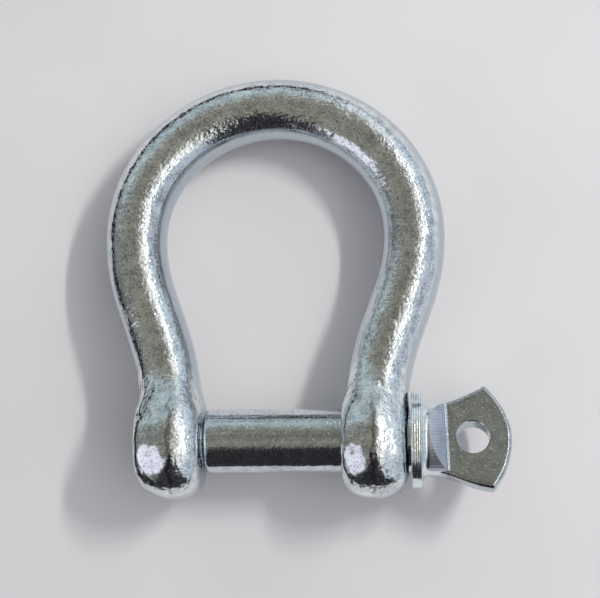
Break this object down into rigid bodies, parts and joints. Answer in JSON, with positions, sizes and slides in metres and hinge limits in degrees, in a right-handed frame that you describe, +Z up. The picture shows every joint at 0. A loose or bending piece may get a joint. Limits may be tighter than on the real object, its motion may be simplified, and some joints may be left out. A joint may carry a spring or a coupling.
{
  "type": "bow shackle",
  "caption": "Forged bow shackle: an omega-shaped bow with eared ends, closed by a screw pin that has a collar and a flat pierced wing. It joins rope, chain and fittings.",
  "frame": {"origin": "under the middle of the box of the whole shackle, on the surface that it lies on", "axes": "+X along the pin towards its wing, +Y from the pin to the crown of the bow, +Z up, out of the surface"},
  "size_m": [0.0772, 0.0812, 0.0219],
  "materials": {
    "forged_zinc": "bright zinc plate on a forged, lightly pitted skin",
    "rolled_zinc": "bright zinc plate on a drawn and turned bar"
  },
  "bodies": {
    "bow": {"bow": "forged_zinc"},
    "pin": {"pin": "rolled_zinc"}
  },
  "joints": [
    {"name": "pin_withdraw", "type": "slide", "parent": "bow", "child": "pin", "axis": [1, 0, 0], "range_m": [0, 0.055]}
  ]
}
